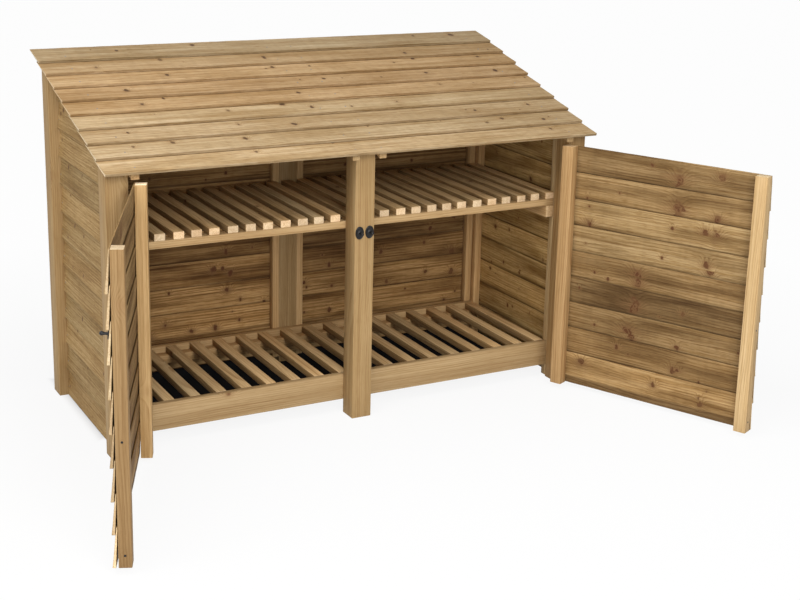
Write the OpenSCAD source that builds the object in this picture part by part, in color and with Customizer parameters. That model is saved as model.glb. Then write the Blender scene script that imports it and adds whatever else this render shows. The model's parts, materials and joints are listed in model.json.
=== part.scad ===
// Slatted log store for firewood: six square posts, feather-edge cladding on the sides, the back and
// the two doors, a lapped board roof that falls to the front, a slatted floor and a kindling shelf.
// X runs along the front, Y to the back and Z up. The origin is on the ground, at the middle of the
// foot of the centre front post.

/* [Frame] */
// Width over the outer faces of the corner posts
frame_w = 1840; // [1500:10:2400]
// Depth from the front of the front posts to the back of the back posts
frame_d = 730; // [560:5:1000]
// Side of the square posts
post = 75; // [65:1:100]

/* [Roof] */
// Height of the top of the roof's front edge above the ground
eaves_h = 986; // [900:1:1400]
// Pitch of the roof in degrees
roof_pitch = 18.2; // [12:0.1:26]
// How far the roof reaches out in front of the posts
eaves_overhang = 55; // [45:1:90]
// How far the roof boards reach past the corner posts at each end
verge_overhang = 15; // [5:1:60]
// Number of roof boards up the slope
roof_boards_count = 9; // [8:1:12]
// Length of each roof board that shows below the next one
roof_gauge = 100.5; // [90:0.5:110]
// Width of a rafter
rafter_w = 27; // [20:1:40]
// Depth of a rafter, square to the slope
rafter_t = 20; // [15:1:28]
// How far the rafters reach out in front of the posts
rafter_tip = 30; // [10:1:40]
// How far the rafters stop short of the roof's back edge
rafter_back_stop = 14; // [5:1:40]

/* [Feather-edge boards] */
// Width of a board
board_w = 125; // [118:1:150]
// Height of each wall board that shows below the next one
wall_gauge = 100; // [85:0.5:110]
// Thickness of a board at its lower edge
board_thick = 10; // [8:0.5:14]
// Thickness of a board at its upper edge
board_thin = 3.5; // [2.5:0.5:5]
// Clearance where a board laps over the one below it
lap_clearance = 0.3; // [0.2:0.1:1]

/* [Side and back panels] */
// Width of the upright that the boards are nailed to
stile_w = 27; // [20:1:40]
// Depth of that upright, from the inside to the boards
stile_t = 30; // [20:1:40]
// Height of the lowest side board above the ground
side_lift = 5; // [2:1:60]
// Height of the lowest back board above the ground
back_lift = 22; // [5:1:60]

/* [Floor] */
// Height of the floor's top above the ground
floor_h = 145; // [110:1:220]
// Height of the floor's front and back rails
floor_rail_h = 95; // [70:1:105]
// Thickness of those rails
floor_rail_t = 25; // [18:1:40]
// Width of the ledger that carries the ends of the slats
ledger_w = 38; // [25:1:60]
// Height of that ledger
ledger_h = 33; // [20:1:40]
// Width of a slat, in the floor and in the shelf
slat_w = 38; // [30:1:48]
// Thickness of a slat
slat_t = 25; // [18:1:32]
// Gap between the left side and the first floor slat
floor_first_gap = 44; // [10:1:60]
// Spacing of the floor slats, centre to centre
floor_pitch = 94.5; // [75:0.1:120]

/* [Shelf] */
// Height of the shelf's top above the ground
shelf_h = 742; // [620:1:800]
// Height of the rails under the shelf slats
shelf_rail_t = 26; // [18:1:40]
// Width of those rails, front to back
shelf_rail_w = 38; // [25:1:60]
// Clearance between the ends of the shelf rails and the side uprights
shelf_end_clearance = 3; // [1:0.5:10]
// Gap between the left side and the first shelf slat
shelf_first_gap = 44; // [10:1:60]
// Spacing of the shelf slats, centre to centre
shelf_pitch = 64.3; // [55:0.1:90]
// Width of the bearers on the side walls that the shelf rests on
bearer_w = 33; // [25:1:45]
// Height of those bearers
bearer_h = 45; // [30:1:60]

/* [Doors] */
// Clearance between a door and the posts beside it
door_clearance = 6; // [5.5:0.5:12]
// Height of the bottom of a door above the ground
door_lift = 22; // [10:1:60]
// Clearance between the top of a door and the rafters' front ends
door_head_clearance = 10; // [6:1:40]
// Width of a door's upright
door_stile_w = 45; // [38:1:70]
// Depth of a door's upright, from its inner face to the boards
door_stile_t = 38; // [25:1:45]
// Angle at which the left door stands open
left_open = 113; // [0:1:180]
// Angle at which the right door stands open
right_open = 115; // [0:1:180]

/* [Hinges] */
// Thickness of the hinge plates
hinge_t = 2; // [1.5:0.5:2.5]
// Height of the plate on the post
flap_h = 100; // [80:1:140]
// Width of the plate on the post
flap_w = 36; // [25:1:50]
// Height of the strap where it leaves the barrel
strap_h = 30; // [24:1:40]
// Height of the strap where its round end begins
strap_tip_h = 15; // [12:1:18]
// Diameter of the strap's round end
strap_end_d = 20; // [19:1:26]
// Length of the strap along the door
strap_len = 250; // [180:5:350]
// Radius of the hinge barrel
barrel_r = 4.5; // [4:0.5:8]
// Clearance between the hinge barrel and the faces of the post and the door
barrel_clearance = 0.5; // [0.3:0.1:1.5]
// Radius of the hinge pin
pin_r = 2.2; // [1.8:0.1:3]
// Clearance round the hinge pin
pin_clearance = 0.2; // [0.1:0.05:0.4]
// Clearance between the knuckles of a barrel
knuckle_clearance = 0.6; // [0.3:0.1:2]
// Number of the door board, from the bottom, that carries the lower strap
low_strap_board = 1; // [1:1:3]
// Number of the door board, from the bottom, that carries the upper strap
high_strap_board = 6; // [5:1:7]

/* [Catches and knobs] */
// Height of the two catches on the centre post above the ground
catch_h = 690; // [500:1:800]
// Distance of a catch from the middle of the post
catch_x = 19.5; // [18:0.5:24]
// Width of a catch's plate
catch_w = 33; // [24:1:36]
// Height of a catch's plate
catch_len = 46; // [36:1:60]
// Thickness of the plates under the catches and knobs
plate_t = 4; // [2.5:0.5:6]
// Radius of the round plate under a door knob
rose_r = 16; // [10:0.5:18]
// Number of the door board, from the bottom, that carries the knob
knob_board = 6; // [4:1:8]
// Height of the knob above the lower edge of its board, along the board's face
knob_rise = 84; // [15:1:85]
// Radius of the knob's neck
neck_r = 3.6; // [2.5:0.1:4.5]
// Radius of the knob at its widest
knob_r = 6.5; // [5:0.1:9]
// Length of the knob's neck, from the plate to the rounded head
neck_len = 8; // [5:0.5:15]
// Length of the tapering head, from the neck to its round end
head_len = 9; // [6:0.5:15]

/* [Hidden] */
$fn = 48;

// Plan: faces of the posts, and the clear bay between them
front_y = -post / 2;
inner_y = post / 2;
back_y = front_y + frame_d;
rear_y = back_y - post;
inner_x = frame_w / 2 - post;
bay_w = inner_x - post / 2;

// Cladding: how far a lapped board stands off at its lower edge, and the whole stack there
function lap_lift(gauge) =
    (board_thick * (1 - gauge / board_w) + board_thin * gauge / board_w + lap_clearance) * board_w / gauge;
function lap_stack(gauge) = lap_lift(gauge) + board_thick;

// Cladding of a set height: the number of whole boards, and the gauge that makes them fill it
function lap_count(run) = 1 + round((run - board_w) / wall_gauge);
function lap_gauge(run) = (run - board_w) / (lap_count(run) - 1);

// Roof: the plane that the boards lie on, which also cuts the tops of the posts and panels
eaves_y = front_y - eaves_overhang;
plane_eaves_z = eaves_h - lap_stack(roof_gauge) * cos(roof_pitch);
plane_eaves_y = eaves_y + lap_stack(roof_gauge) * sin(roof_pitch);
roof_run = ((roof_boards_count - 1) * roof_gauge + board_w) * cos(roof_pitch);
rafter_drop = rafter_t / cos(roof_pitch);
function roof_z(y) = plane_eaves_z + (y - plane_eaves_y) * tan(roof_pitch);
function rafter_under_z(y) = roof_z(y) - rafter_drop;

// Doors: outline, swing axis and the tilt of a board's outer face
door_w = bay_w - 2 * door_clearance;
door_x = inner_x - door_clearance;
door_top = rafter_under_z(front_y - rafter_tip) - door_head_clearance;
door_h = door_top - door_lift;
door_gauge = lap_gauge(door_h);
door_stack = lap_stack(door_gauge);
axis_x = inner_x;
axis_y = front_y - barrel_r - barrel_clearance;
roll_seam = -45;
face_tilt = atan((door_stack - board_thin) / board_w);

wood = "burlywood";
wood_dark = "tan";
iron = "#202022";

// An outline drawn in Y and Z, given a width along X
module across(x, w) {
    translate([x, 0, 0])
        rotate([90, 0, 90])
            linear_extrude(w)
                children();
}

// Outline of an upright between two Y places, with its top cut to the slope
module upright_outline(y0, y1, z0, drop) {
    polygon([[y0, z0], [y1, z0], [y1, roof_z(y1) - drop], [y0, roof_z(y0) - drop]]);
}

// Lapped boards standing on their supports: outwards is +X, up is +Z, and they run along Y
module lapped_boards(count, gauge, length) {
    lift = lap_lift(gauge);
    translate([0, length, 0])
        rotate([90, 0, 0])
            linear_extrude(length)
                for (i = [0 : count - 1])
                    translate([0, i * gauge])
                        polygon([[lift, 0], [lift + board_thick, 0], [board_thin, board_w], [0, board_w]]);
}

// The left half of the store repeats the right half in a mirror
module left_hand() {
    mirror([1, 0, 0])
        children();
}

module front_post(x) {
    across(x, post)
        upright_outline(front_y, inner_y, 0, 0);
}

module back_post(x) {
    across(x, post)
        upright_outline(rear_y, back_y, 0, 0);
}

// A floor rail lies flat against the posts, between the uprights of the two side panels
module floor_rail(y) {
    translate([-inner_x, y, floor_h - floor_rail_h])
        cube([2 * inner_x, floor_rail_t, floor_rail_h]);
}

module floor_ledger(y) {
    translate([-inner_x, y, floor_h - slat_t - ledger_h])
        cube([2 * inner_x, ledger_w, ledger_h]);
}

// Slats run front to back; side is -1 for those left of the middle and 1 for the others
module slat_row(first_gap, pitch, y0, y1, z, side) {
    last = floor((2 * inner_x - first_gap - slat_w) / pitch);
    for (i = [0 : last]) {
        x = -inner_x + first_gap + i * pitch;
        if ((x + slat_w / 2 < 0) == (side < 0))
            translate([x, y0, z])
                cube([slat_w, y1 - y0, slat_t]);
    }
}

module floor_slats(side) {
    slat_row(floor_first_gap, floor_pitch, inner_y + floor_rail_t, rear_y - floor_rail_t,
        floor_h - slat_t, side);
}

module shelf_slats(side) {
    slat_row(shelf_first_gap, shelf_pitch, inner_y, rear_y, shelf_h - slat_t, side);
}

module shelf_rail(y) {
    length = 2 * (inner_x - shelf_end_clearance);
    translate([-length / 2, y, shelf_h - slat_t - shelf_rail_t])
        cube([length, shelf_rail_w, shelf_rail_t]);
}

module shelf_bearer() {
    translate([inner_x - bearer_w, inner_y, shelf_h - slat_t - shelf_rail_t - bearer_h])
        cube([bearer_w, rear_y - inner_y, bearer_h]);
}

// Uprights of a side panel, set against the front and the back post
module side_stiles() {
    across(inner_x, stile_t) {
        upright_outline(inner_y, inner_y + stile_w, side_lift, 0);
        upright_outline(rear_y - stile_w, rear_y, side_lift, 0);
    }
}

// Side boards fill the space between the posts, the upper ones cut to the slope of the roof
module side_boards() {
    count = ceil((roof_z(rear_y) - side_lift) / wall_gauge);
    intersection() {
        translate([inner_x + stile_t, inner_y, side_lift])
            lapped_boards(count, wall_gauge, rear_y - inner_y);
        across(inner_x, post)
            upright_outline(inner_y, rear_y, 0, 0);
    }
}

// Uprights of a back panel, set against the centre and the corner post, under the rafters
module back_stiles() {
    for (x = [post / 2, inner_x - stile_w])
        across(x, stile_w)
            upright_outline(rear_y, rear_y + stile_t, back_lift, rafter_drop);
}

// Back boards fill the space between two posts and stop under the rafters
module back_boards() {
    count = ceil((roof_z(back_y) - back_lift) / wall_gauge);
    intersection() {
        translate([inner_x, rear_y + stile_t, back_lift])
            rotate([0, 0, 90])
                lapped_boards(count, wall_gauge, bay_w);
        across(post / 2, bay_w)
            upright_outline(rear_y, back_y, 0, rafter_drop);
    }
}

// Rafters lie along the posts' inner faces, with plumb ends
module rafter(x) {
    y0 = front_y - rafter_tip;
    y1 = eaves_y + roof_run - rafter_back_stop;
    across(x, rafter_w)
        polygon([[y0, rafter_under_z(y0)], [y1, rafter_under_z(y1)], [y1, roof_z(y1)], [y0, roof_z(y0)]]);
}

// Roof boards run the whole length, each lapping over the one below it down the slope
module roof_cladding() {
    length = frame_w + 2 * verge_overhang;
    translate([-length / 2, plane_eaves_y, plane_eaves_z])
        rotate([roof_pitch - 90, 0, 0])
            rotate([0, 0, -90])
                lapped_boards(roof_boards_count, roof_gauge, length);
}

// A door turned about its hinge axis, from shut to standing open
module swung(angle) {
    translate([axis_x, axis_y, 0])
        rotate([0, 0, angle])
            translate([-axis_x, -axis_y, 0])
                children();
}

// Two uprights on the inside of a door
module door_stiles() {
    for (x = [door_x - door_w, door_x - door_stile_w])
        translate([x, front_y + door_stack, door_lift])
            cube([door_stile_w, door_stile_t, door_h]);
}

// Whole boards fill a door from its bottom to its top
module door_boards() {
    translate([door_x - door_w, front_y + door_stack, door_lift])
        rotate([0, 0, -90])
            lapped_boards(lap_count(door_h), door_gauge, door_w);
}

// Middle height of a strap, which bears on the thick lower edge of its board
function strap_z(board) = door_lift + board * door_gauge + strap_h / 2;

// Round stretch of a hinge about its pin, with the line where the sheet closes turned away from the plates
module rolled(r, h) {
    rotate([0, 0, roll_seam])
        cylinder(r = r, h = h, center = true);
}

// Plate on the post with the outer knuckles of the barrel and the pin through them
module hinge_flap(z) {
    gap_h = strap_h + 2 * knuckle_clearance;
    translate([axis_x, axis_y, z]) {
        difference() {
            union() {
                translate([0, barrel_r + barrel_clearance - hinge_t, -flap_h / 2])
                    cube([flap_w, hinge_t, flap_h]);
                rolled(barrel_r, flap_h);
            }
            translate([-2 * barrel_r, -2 * barrel_r, -gap_h / 2])
                cube([3 * barrel_r + hinge_t, 4 * barrel_r, gap_h]);
        }
        rolled(pin_r, flap_h);
    }
}

module hinge_flaps() {
    for (board = [low_strap_board, high_strap_board])
        hinge_flap(strap_z(board));
}

// Tapering strap with a round end and the middle knuckle, bored for the pin
module hinge_strap(z) {
    translate([axis_x, axis_y, z])
        difference() {
            union() {
                translate([0, barrel_r + barrel_clearance, 0])
                    rotate([90, 0, 0])
                        linear_extrude(hinge_t) {
                            polygon([[0, -strap_h / 2], [0, strap_h / 2],
                                [-strap_len, strap_tip_h / 2], [-strap_len, -strap_tip_h / 2]]);
                            translate([-strap_len, 0])
                                circle(d = strap_end_d);
                        }
                rolled(barrel_r, strap_h);
            }
            rolled(pin_r + pin_clearance, 2 * strap_h);
        }
}

module door_straps() {
    for (board = [low_strap_board, high_strap_board])
        hinge_strap(strap_z(board));
}

// A knob turned from its neck to its round end, pointing along +Z
module turned_knob() {
    rotate_extrude()
        intersection() {
            union() {
                square([neck_r, neck_len]);
                polygon([[0, neck_len / 2], [neck_r, neck_len / 2],
                    [knob_r, neck_len + head_len], [0, neck_len + head_len]]);
                translate([0, neck_len + head_len])
                    circle(knob_r);
            }
            square([2 * knob_r, neck_len + head_len + 2 * knob_r]);
        }
}

// Long round-ended plate on the centre post with its knob
module catch() {
    end = (catch_len - catch_w) / 2;
    translate([catch_x, front_y, catch_h])
        rotate([90, 0, 0]) {
            linear_extrude(plate_t) {
                square([catch_w, 2 * end], center = true);
                for (y = [-end, end])
                    translate([0, y])
                        circle(d = catch_w);
            }
            translate([0, 0, plate_t])
                turned_knob();
        }
}

// Round plate and knob on a door's outer face, square to the slope of its board
module door_knob() {
    translate([door_x - door_w + door_stile_w / 2, front_y, door_lift + knob_board * door_gauge])
        rotate([90 - face_tilt, 0, 0])
            translate([0, knob_rise, 0]) {
                cylinder(r = rose_r, h = plate_t);
                translate([0, 0, plate_t])
                    turned_knob();
            }
}

module left_front_post() color(wood) front_post(-inner_x - post);
module centre_front_post() color(wood) front_post(-post / 2);
module right_front_post() color(wood) front_post(inner_x);
module left_back_post() color(wood) back_post(-inner_x - post);
module centre_back_post() color(wood) back_post(-post / 2);
module right_back_post() color(wood) back_post(inner_x);
module floor_front_rail() color(wood) floor_rail(inner_y);
module floor_back_rail() color(wood) floor_rail(rear_y - floor_rail_t);
module floor_front_ledger() color(wood_dark) floor_ledger(inner_y + floor_rail_t);
module floor_back_ledger() color(wood_dark) floor_ledger(rear_y - floor_rail_t - ledger_w);
module left_floor_slats() color(wood_dark) floor_slats(-1);
module right_floor_slats() color(wood_dark) floor_slats(1);
module left_side_stiles() color(wood) left_hand() side_stiles();
module left_side_boards() color(wood_dark) left_hand() side_boards();
module right_side_stiles() color(wood) side_stiles();
module right_side_boards() color(wood_dark) side_boards();
module left_back_stiles() color(wood) left_hand() back_stiles();
module left_back_boards() color(wood_dark) left_hand() back_boards();
module right_back_stiles() color(wood) back_stiles();
module right_back_boards() color(wood_dark) back_boards();
module left_shelf_bearer() color(wood_dark) left_hand() shelf_bearer();
module right_shelf_bearer() color(wood_dark) shelf_bearer();
module shelf_front_rail() color(wood) shelf_rail(inner_y);
module shelf_back_rail() color(wood) shelf_rail(rear_y - shelf_rail_w);
module left_shelf_slats() color(wood_dark) shelf_slats(-1);
module right_shelf_slats() color(wood_dark) shelf_slats(1);
module left_rafter() color(wood) rafter(-inner_x);
module centre_left_rafter() color(wood) rafter(-post / 2 - rafter_w);
module centre_right_rafter() color(wood) rafter(post / 2);
module right_rafter() color(wood) rafter(inner_x - rafter_w);
module roof_boards() color(wood) roof_cladding();
module left_hinge_flaps() color(iron) left_hand() hinge_flaps();
module right_hinge_flaps() color(iron) hinge_flaps();
module left_catch() color(iron) left_hand() catch();
module right_catch() color(iron) catch();
module left_door_stiles() color(wood) left_hand() swung(left_open) door_stiles();
module left_door_boards() color(wood_dark) left_hand() swung(left_open) door_boards();
module left_door_straps() color(iron) left_hand() swung(left_open) door_straps();
module left_door_knob() color(iron) left_hand() swung(left_open) door_knob();
module right_door_stiles() color(wood) swung(right_open) door_stiles();
module right_door_boards() color(wood_dark) swung(right_open) door_boards();
module right_door_straps() color(iron) swung(right_open) door_straps();
module right_door_knob() color(iron) swung(right_open) door_knob();

left_front_post();
centre_front_post();
right_front_post();
left_back_post();
centre_back_post();
right_back_post();
floor_front_rail();
floor_back_rail();
floor_front_ledger();
floor_back_ledger();
left_floor_slats();
right_floor_slats();
left_side_stiles();
left_side_boards();
right_side_stiles();
right_side_boards();
left_back_stiles();
left_back_boards();
right_back_stiles();
right_back_boards();
left_shelf_bearer();
right_shelf_bearer();
shelf_front_rail();
shelf_back_rail();
left_shelf_slats();
right_shelf_slats();
left_rafter();
centre_left_rafter();
centre_right_rafter();
right_rafter();
roof_boards();
left_hinge_flaps();
right_hinge_flaps();
left_catch();
right_catch();
left_door_stiles();
left_door_boards();
left_door_straps();
left_door_knob();
right_door_stiles();
right_door_boards();
right_door_straps();
right_door_knob();
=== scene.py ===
import json
import math
import random

import bpy
from mathutils import Matrix, Vector


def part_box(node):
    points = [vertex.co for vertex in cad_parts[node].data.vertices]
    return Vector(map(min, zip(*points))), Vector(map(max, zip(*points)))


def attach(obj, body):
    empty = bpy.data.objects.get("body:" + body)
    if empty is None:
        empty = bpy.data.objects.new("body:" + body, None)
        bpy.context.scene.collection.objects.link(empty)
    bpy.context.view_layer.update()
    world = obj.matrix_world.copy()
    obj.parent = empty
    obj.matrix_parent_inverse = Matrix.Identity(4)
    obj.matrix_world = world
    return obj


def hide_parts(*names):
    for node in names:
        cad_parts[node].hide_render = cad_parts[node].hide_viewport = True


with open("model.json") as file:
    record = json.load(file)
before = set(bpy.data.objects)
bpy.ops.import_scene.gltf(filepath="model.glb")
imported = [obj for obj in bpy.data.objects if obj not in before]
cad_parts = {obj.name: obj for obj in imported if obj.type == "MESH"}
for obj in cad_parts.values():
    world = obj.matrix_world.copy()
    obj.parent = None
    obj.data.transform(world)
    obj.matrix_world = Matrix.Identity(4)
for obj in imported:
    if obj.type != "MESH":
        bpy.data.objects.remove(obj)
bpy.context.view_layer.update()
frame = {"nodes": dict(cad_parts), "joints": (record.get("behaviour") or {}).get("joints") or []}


# Six posts of square treated softwood carry the store. They are planed, their arrises are eased, and
# their tops are sawn to the slope of the roof. The timber and its grain are set up here for all pieces.
POST = 0.075
POST_SPARE = 0.02
POST_SEED = 11
ROOF_PITCH = math.radians(18.2)
ARRIS = 0.0016
PLANED_WAVE, WAVE_STEP = 0.00035, 0.09
KNOT_DRAW = 0.35

front_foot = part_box("centre_front_post")
FRONT_Y = front_foot[0][1]
INNER_Y = front_foot[1][1]
slope_point = Vector((0, INNER_Y, front_foot[1][2]))
slope_up = Vector((0, -math.sin(ROOF_PITCH), math.cos(ROOF_PITCH)))


def softwood(name, pale, honey, late, knot, ring_gap, bump, rough,
             knot_reach=0.0, sawn=False, lap_shade=0.0, streaks=0.0):
    """Treated softwood: year rings round a pith, fibres and knots, laid along each piece's own grain."""
    wood = bpy.data.materials.new(name)
    wood.use_nodes = True
    nodes, links = wood.node_tree.nodes, wood.node_tree.links
    shader = nodes["Principled BSDF"]

    def feed(socket, value):
        if isinstance(value, bpy.types.NodeSocket):
            links.new(value, socket)
        elif socket.type == "RGBA":
            socket.default_value = (*value, 1.0)
        else:
            socket.default_value = value

    def sums(operation, a, b=0.0, c=0.0):
        made = nodes.new("ShaderNodeMath")
        made.operation = operation
        for socket, value in zip(made.inputs, (a, b, c)):
            feed(socket, value)
        return made.outputs[0]

    def span(a, b):
        return sums("SQRT", sums("ADD", sums("POWER", a, 2.0), sums("POWER", b, 2.0)))

    def stretched(along, across):
        made = nodes.new("ShaderNodeVectorMath")
        made.operation = "MULTIPLY"
        feed(made.inputs[0], grain)
        made.inputs[1].default_value = (along, across, across)
        return made.outputs[0]

    def noise(along, across, detail, output="Fac"):
        made = nodes.new("ShaderNodeTexNoise")
        made.inputs["Scale"].default_value = 1.0
        made.inputs["Detail"].default_value = detail
        feed(made.inputs["Vector"], stretched(along, across))
        return made.outputs[output]

    def cells(along, across, scale):
        made = nodes.new("ShaderNodeTexVoronoi")
        made.inputs["Scale"].default_value = scale
        feed(made.inputs["Vector"], stretched(along, across))
        return sums("MULTIPLY", made.outputs["Distance"], 1 / scale)

    def crooked(distance, wave, sway):
        return sums("MAXIMUM", sums("ADD", distance, sums("MULTIPLY_ADD", wave, sway, -sway / 2)), 0.0)

    def ramp(factor, *stops):
        made = nodes.new("ShaderNodeValToRGB")
        band = made.color_ramp
        while len(band.elements) < len(stops):
            band.elements.new(0.5)
        for element, (place, grey) in zip(band.elements, stops):
            element.position = place
            element.color = (*grey, 1.0) if isinstance(grey, tuple) else (grey, grey, grey, 1.0)
        feed(made.inputs["Fac"], factor)
        return made.outputs["Color"]

    def mixed(blend, factor, a, b):
        made = nodes.new("ShaderNodeMix")
        made.data_type = "RGBA"
        made.blend_type = blend
        feed(made.inputs[0], factor)
        feed(made.inputs[6], a)
        feed(made.inputs[7], b)
        return made.outputs[2]

    lie = nodes.new("ShaderNodeAttribute")
    lie.attribute_name = "grain"
    grain = lie.outputs["Vector"]
    tint = nodes.new("ShaderNodeAttribute")
    tint.attribute_name = "tint"
    shade = nodes.new("ShaderNodeSeparateXYZ")
    links.new(tint.outputs["Vector"], shade.inputs[0])

    # Distance from the nearest knot, in knot radii. Sawn boards have knots from mark_grain, others by chance
    if sawn:
        laid = nodes.new("ShaderNodeAttribute")
        laid.attribute_name = "knot"
        off = nodes.new("ShaderNodeSeparateXYZ")
        links.new(laid.outputs["Vector"], off.inputs[0])
        radius = sums("MAXIMUM", off.outputs["Z"], 0.001)
        smooth = sums("DIVIDE", span(off.outputs["X"], sums("MULTIPLY", off.outputs["Y"], 0.75)), radius)
        far = crooked(smooth, noise(38, 60, 3), 3.4)
        flame = sums("DIVIDE", span(sums("MULTIPLY", off.outputs["X"], KNOT_DRAW), off.outputs["Y"]), radius)
    else:
        smooth = sums("DIVIDE", cells(0.75, 1.0, 5.5), max(knot_reach, 0.001))
        far = crooked(smooth, noise(70, 110, 2), 0.8)
    bend = sums("POWER", 2.718, sums("MULTIPLY", sums("POWER", sums("DIVIDE", smooth, 2.4), 2.0), -1.0))

    # Year rings round a wandering pith, pushed aside by the knots
    wander = nodes.new("ShaderNodeVectorMath")
    wander.operation = "MULTIPLY_ADD"
    links.new(noise(1.3, 0.5, 1, "Color"), wander.inputs[0])
    wander.inputs[1].default_value = (0.0, 0.09, 0.05)
    links.new(grain, wander.inputs[2])
    pith = nodes.new("ShaderNodeSeparateXYZ")
    links.new(wander.outputs[0], pith.inputs[0])
    reach = span(pith.outputs["Y"], pith.outputs["Z"])
    year = sums("ADD", sums("DIVIDE", reach, ring_gap), sums("MULTIPLY", bend, 3.6))
    year = sums("ADD", year, sums("MULTIPLY", noise(4, 34, 2), 1.2))
    ring = ramp(sums("FRACT", year), (0.0, 0.0), (0.5, 0.3), (0.84, 1.0), (1.0, 0.0))

    # Early wood, late wood, fibres, flecks, stains and saw marks
    fibre = noise(3, 230, 4)
    broad = ramp(noise(1.0, 26, 3), (0.36, 0.0), (0.64, 1.0))
    narrow = ramp(noise(1.7, 85, 2), (0.36, 0.15), (0.64, 0.9))
    colour = mixed("MIX", broad, pale, honey)
    lines = sums("MULTIPLY", ring, sums("MAXIMUM", narrow, sums("MULTIPLY", bend, 0.9)))
    colour = mixed("MIX", lines, colour, late)
    colour = mixed("MIX", ramp(noise(0.8, 48, 1), (0.63, 0.0), (0.75, 0.5)), colour, late)
    fibres = ramp(fibre, (0.34, (0.70, 0.62, 0.48)), (0.6, (1.04, 1.05, 1.08)))
    colour = mixed("MULTIPLY", 0.85 if sawn else 0.5, colour, fibres)
    flecks = ramp(noise(26, 290, 3), (0.34, (0.66, 0.57, 0.43)), (0.5, 1.0))
    colour = mixed("MULTIPLY", 0.7 if sawn else 0.25, colour, flecks)
    if sawn:
        stain = (0.48, 0.42, 0.33) if lap_shade > 0 else (0.8, 0.75, 0.66)
        colour = mixed("MULTIPLY", 1.0, colour, ramp(noise(2.4, 16, 2), (0.36, stain), (0.57, 1.0)))
        saw_marks = ramp(noise(48, 3, 2), (0.35, 0.9), (0.6, 1.0))
        colour = mixed("MULTIPLY", 0.6, colour, saw_marks)
    if streaks > 0:
        dark_streaks = ramp(noise(1.6, 115, 3), (0.36, (0.45, 0.36, 0.24)), (0.5, 1.0))
        colour = mixed("MULTIPLY", streaks, colour, dark_streaks)

    # The tone and warmth of this length
    cool, warm = (0.95, 1.0, 0.96), (1.06, 0.975, 0.81)
    colour = mixed("MULTIPLY", 1.0, colour, mixed("MIX", shade.outputs["Y"], cool, warm))
    tone = nodes.new("ShaderNodeVectorMath")
    tone.operation = "SCALE"
    links.new(colour, tone.inputs[0])
    links.new(sums("MULTIPLY_ADD", shade.outputs["X"], 0.6, 0.7), tone.inputs["Scale"])
    colour = tone.outputs[0]

    # Knots: a flame of dark grain, a halo, and a dark core that gives way to a broken rim in a large knot
    if knot_reach > 0 or sawn:
        near = sums("MULTIPLY", far, 0.2)
        strength = 1.0
        if sawn:
            strength = ramp(noise(2.3, 9, 1), (0.34, 0.6), (0.48, 1.0))
            flare = ramp(sums("MULTIPLY", flame, 0.25), (0.12, 0.85), (0.52, 0.0))
            threads = ramp(noise(7, 120, 2), (0.4, 0.1), (0.56, 1.0))
            colour = mixed("MIX", sums("MULTIPLY", strength, sums("MULTIPLY", flare, threads)), colour, late)
        heart = tuple(0.6 * a + 0.4 * b for a, b in zip(late, knot))
        halo = ramp(near, (0.14, 0.85), (0.26, 0.35), (0.5, 0.0))
        colour = mixed("MIX", sums("MULTIPLY", strength, halo), colour, heart)
        core = ramp(near, (0.0, 0.9), (0.14, 0.8), (0.21, 0.0))
        if sawn:
            small = ramp(sums("MULTIPLY", off.outputs["Z"], 50.0), (0.42, 0.95), (0.56, 0.15))
            edge = ramp(near, (0.11, 0.0), (0.16, 1.0), (0.2, 0.9), (0.26, 0.0))
            rim = sums("MULTIPLY", edge, ramp(noise(30, 34, 1), (0.44, 0.0), (0.56, 0.95)))
            eye = ramp(near, (0.02, 0.85), (0.07, 0.0))
            core = sums("MAXIMUM", sums("MULTIPLY", core, small), sums("MAXIMUM", rim, eye))
        colour = mixed("MIX", sums("MULTIPLY", strength, core), colour, knot)

    # Painted shade along the laps: inside, a dark band above each lap; outside, a darker lower edge and a
    # dark line under the next board's lap
    if lap_shade > 0:
        under_lap = ramp(shade.outputs["Z"], (0.2, (0.36, 0.33, 0.3)), (0.255, 0.92), (0.34, 1.0))
        colour = mixed("MULTIPLY", lap_shade, colour, under_lap)
    elif sawn:
        # Painted shade: darker along each board's lower edge and under the lap of the board above
        painted_lap_shadow = ramp(shade.outputs["Z"], (0.0, 0.62), (0.03, 1.0), (0.78, 1.0), (0.805, (0.4, 0.34, 0.26)))
        colour = mixed("MULTIPLY", 0.85, colour, painted_lap_shadow)

    links.new(colour, shader.inputs["Base Color"])
    feed(shader.inputs["Roughness"], sums("MULTIPLY_ADD", fibre, 0.16, rough))
    shader.inputs["Specular IOR Level"].default_value = 0.22
    rise = nodes.new("ShaderNodeBump")
    rise.inputs["Strength"].default_value = bump
    rise.inputs["Distance"].default_value = 0.0014
    feed(rise.inputs["Height"], sums("MULTIPLY_ADD", ring, 0.3, fibre))
    links.new(rise.outputs[0], shader.inputs["Normal"])
    return wood


def mark_grain(piece, seed, tone, warmth=None, knots=(), spread=None, covered=1.0):
    """Each length comes from its own place in its own log, so its grain, tone and knots are its own."""
    chance = random.Random(seed)
    start = Vector((chance.uniform(0, 60), chance.uniform(-0.03, 0.03), chance.uniform(0.0, 0.1)))
    lightness = tone + chance.uniform(-0.07, 0.07)
    warmth = chance.random() if warmth is None else warmth
    grain = piece.data.attributes.new("grain", "FLOAT_VECTOR", "POINT")
    tint = piece.data.attributes.new("tint", "FLOAT_VECTOR", "POINT")
    for vertex in piece.data.vertices:
        height = min(vertex.co.z / spread, covered) if spread else 0.5
        grain.data[vertex.index].vector = start + vertex.co
        tint.data[vertex.index].vector = (lightness, warmth, height)
    if not knots:
        return
    away = piece.data.attributes.new("knot", "FLOAT_VECTOR", "CORNER")
    for face in piece.data.polygons:
        middle = face.center
        distances = [math.hypot(KNOT_DRAW * (middle.x - x), middle.z - z) / radius for x, z, radius in knots]
        x, z, radius = knots[distances.index(min(distances))]
        for loop in face.loop_indices:
            corner = piece.data.vertices[piece.data.loops[loop].vertex_index].co
            away.data[loop].vector = (corner.x - x, corner.z - z, radius)


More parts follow.
